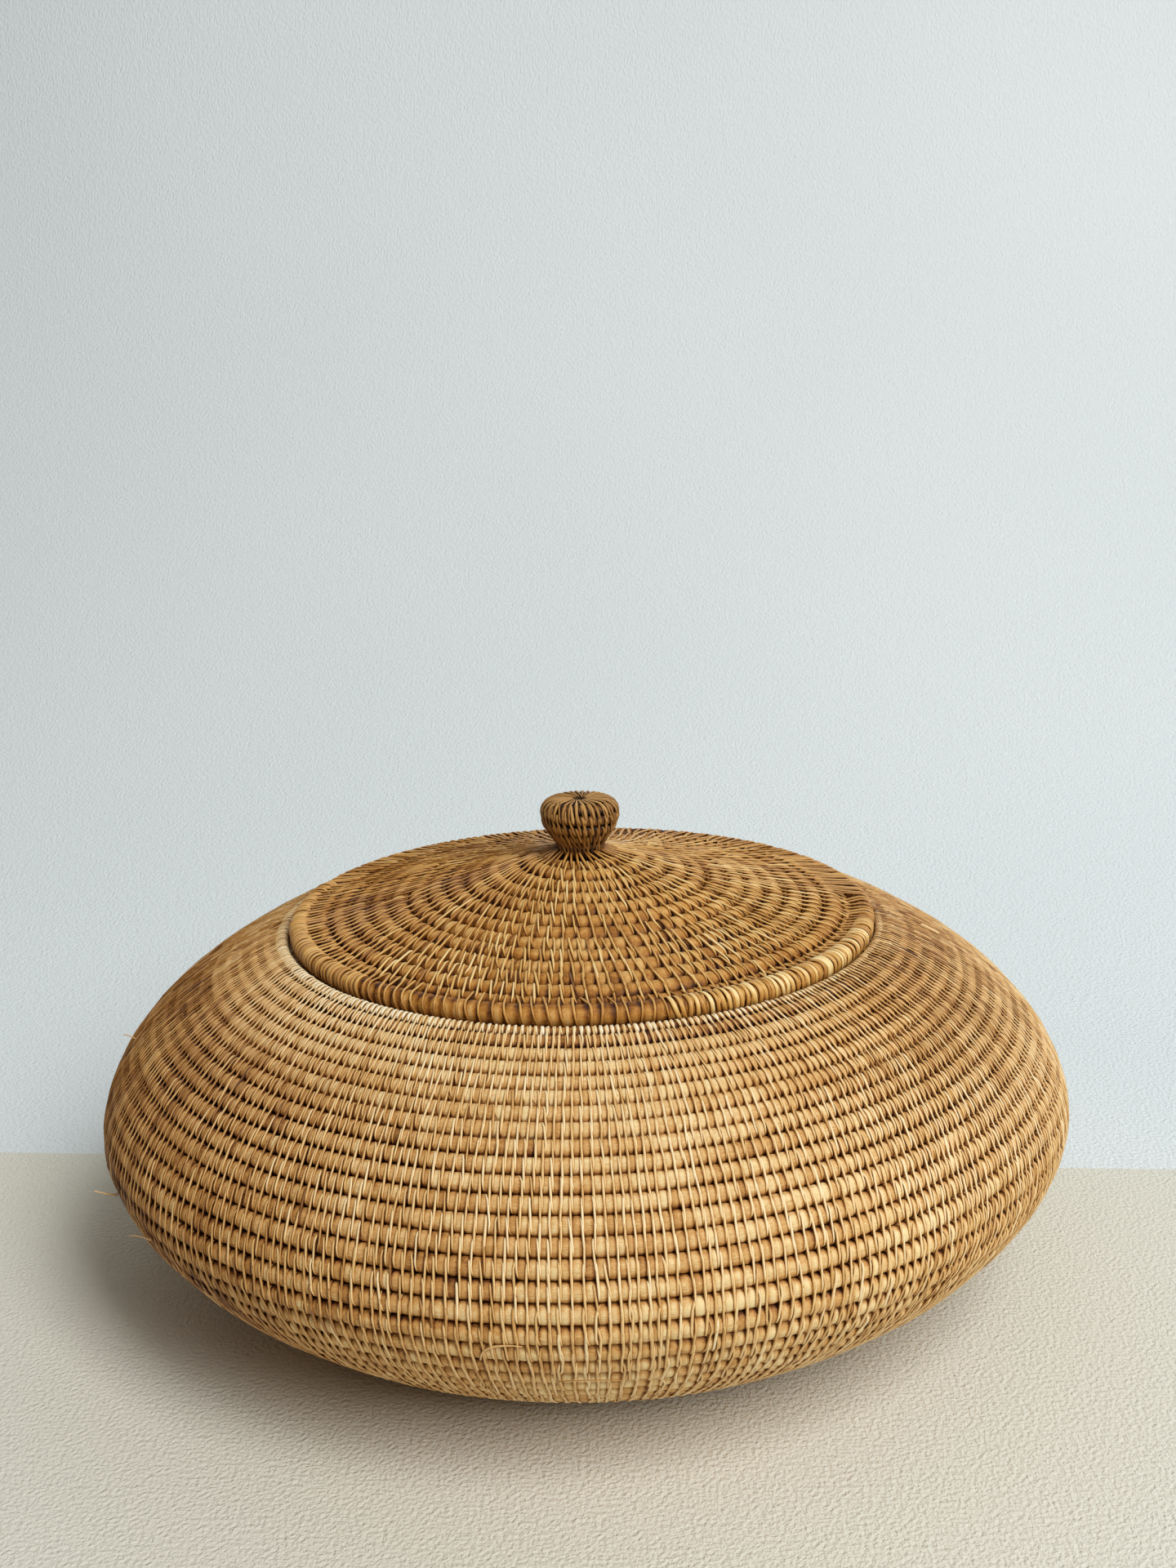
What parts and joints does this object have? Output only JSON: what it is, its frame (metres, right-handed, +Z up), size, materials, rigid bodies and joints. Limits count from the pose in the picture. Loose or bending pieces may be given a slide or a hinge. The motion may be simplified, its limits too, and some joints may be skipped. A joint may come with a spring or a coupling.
{
  "type": "lidded basket",
  "caption": "Squat round basket of coiled cane with a wide mouth, a shallow cone-shaped lift-off lid and a wound knob.",
  "frame": {"origin": "on the table under the middle of the base", "axes": "+Z up along the basket's axis, towards the knob; -Y towards the camera of the picture, +X to its right"},
  "size_m": [0.46, 0.46, 0.2173],
  "materials": {
    "straw_cane": "matt split cane, straw coloured",
    "pale_cane": "matt split cane, pale",
    "honey_cane": "matt split cane, honey brown",
    "dusky_cane": "matt cane, darkened by handling"
  },
  "bodies": {
    "pot": {"base_eye": "straw_cane", "base_coil_1": "straw_cane", "base_coil_2": "straw_cane", "lower_wall_coil_1": "straw_cane", "lower_wall_coil_2": "straw_cane", "lower_wall_coil_3": "straw_cane", "shoulder_coil_1": "straw_cane", "shoulder_coil_2": "straw_cane", "shoulder_coil_3": "straw_cane", "shoulder_coil_4": "pale_cane", "mouth_hoop": "pale_cane"},
    "lid": {"lid_coil_1": "honey_cane", "lid_coil_2": "honey_cane", "lid_coil_3": "honey_cane", "lid_rim_hoop": "honey_cane", "upper_locating_hoop": "honey_cane", "lower_locating_hoop": "honey_cane", "knob_coil_1": "dusky_cane", "knob_coil_2": "dusky_cane", "knob_core": "dusky_cane"}
  },
  "joints": [
    {"name": "lid_lift", "type": "slide", "parent": "pot", "child": "lid", "axis": [0, 0, 1], "range_m": [0, 0.15]}
  ]
}
